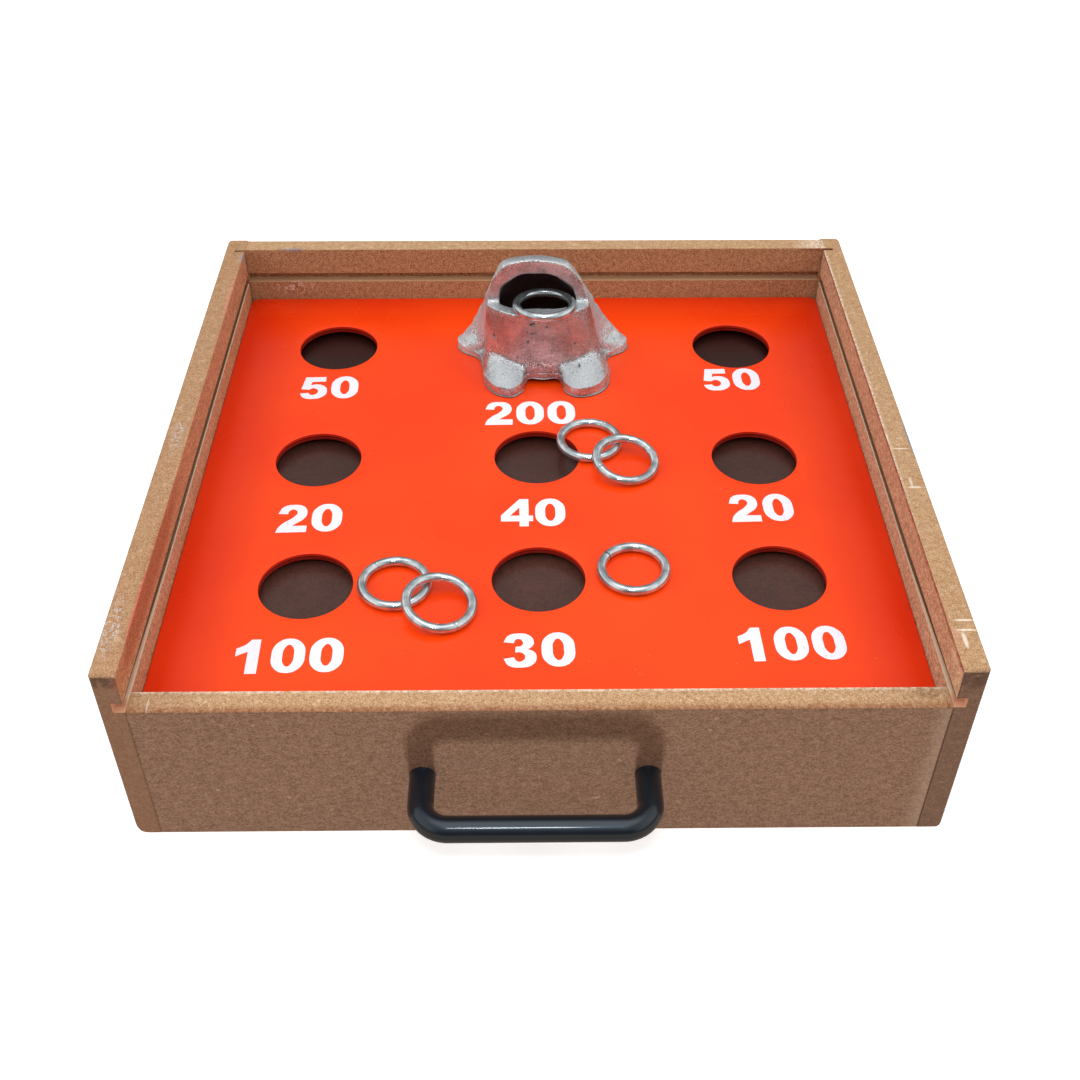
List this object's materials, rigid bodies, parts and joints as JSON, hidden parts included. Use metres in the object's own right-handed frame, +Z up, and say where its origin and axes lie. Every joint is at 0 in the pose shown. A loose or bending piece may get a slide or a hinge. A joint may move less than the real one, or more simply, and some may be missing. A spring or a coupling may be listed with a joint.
{
  "type": "frog toss game",
  "caption": "Open fibreboard game case with a lid groove and bow handle, a lift-out red scoring board with round holes, an open-mouthed cast frog and loose wire rings.",
  "frame": {"origin": "on the floor, under the middle of the case", "axes": "+X to the right as seen by the player, +Y to the back, +Z up; the handle is at the front, -Y"},
  "size_m": [0.48, 0.508, 0.1788],
  "materials": {
    "fibreboard": "bare sanded fibreboard",
    "softwood": "bare sawn softwood",
    "black_handle": "satin black",
    "red_board": "satin red paint",
    "hardboard": "screened hardboard",
    "cast_frog": "sand cast, pitted",
    "ring_wire": "bright zinc plate",
    "nail_steel": "bright steel",
    "white_numerals": "white vinyl film"
  },
  "bodies": {
    "case": {"side_panel_left": "fibreboard", "side_panel_right": "fibreboard", "front_panel": "fibreboard", "back_panel": "fibreboard", "bottom_panel": "fibreboard", "ledge_left": "softwood", "ledge_right": "softwood", "ledge_front": "softwood", "ledge_back": "softwood", "handle": "black_handle", "handle_screws": "nail_steel", "handle_washers": "nail_steel", "corner_nails": "nail_steel", "ledge_nails": "nail_steel", "bottom_nails": "nail_steel"},
    "board": {"game_board": "red_board", "spacer_left": "softwood", "spacer_right": "softwood", "spacer_front": "softwood", "spacer_back": "softwood", "spacer_mid_left": "softwood", "spacer_mid_right": "softwood", "board_backing": "hardboard", "board_pins": "nail_steel"},
    "frog": {"frog": "cast_frog"},
    "ring_1": {"ring_1": "ring_wire"},
    "ring_2": {"ring_2": "ring_wire"},
    "ring_3": {"ring_3": "ring_wire"},
    "ring_4": {"ring_4": "ring_wire"},
    "ring_5": {"ring_5": "ring_wire"},
    "ring_6": {"ring_6": "ring_wire"}
  },
  "joints": [
    {"name": "board_lift", "type": "slide", "parent": "case", "child": "board", "axis": [0, 0, 1], "range_m": [0, 0.1]},
    {"name": "frog_lift", "type": "slide", "parent": "board", "child": "frog", "axis": [0, 0, 1], "range_m": [0, 0.1]},
    {"name": "ring_1_lift", "type": "slide", "parent": "board", "child": "ring_1", "axis": [0, 0, 1], "range_m": [0, 0.06]},
    {"name": "ring_2_lift", "type": "slide", "parent": "board", "child": "ring_2", "axis": [0, 0, 1], "range_m": [0, 0.06]},
    {"name": "ring_3_lift", "type": "slide", "parent": "ring_2", "child": "ring_3", "axis": [0, 0, 1], "range_m": [0, 0.06]},
    {"name": "ring_4_lift", "type": "slide", "parent": "board", "child": "ring_4", "axis": [0, 0, 1], "range_m": [0, 0.06]},
    {"name": "ring_5_lift", "type": "slide", "parent": "ring_4", "child": "ring_5", "axis": [0, 0, 1], "range_m": [0, 0.06]},
    {"name": "ring_6_draw", "type": "slide", "parent": "frog", "child": "ring_6", "axis": [0, -0.9962, 0.0872], "range_m": [0, 0.06]}
  ]
}
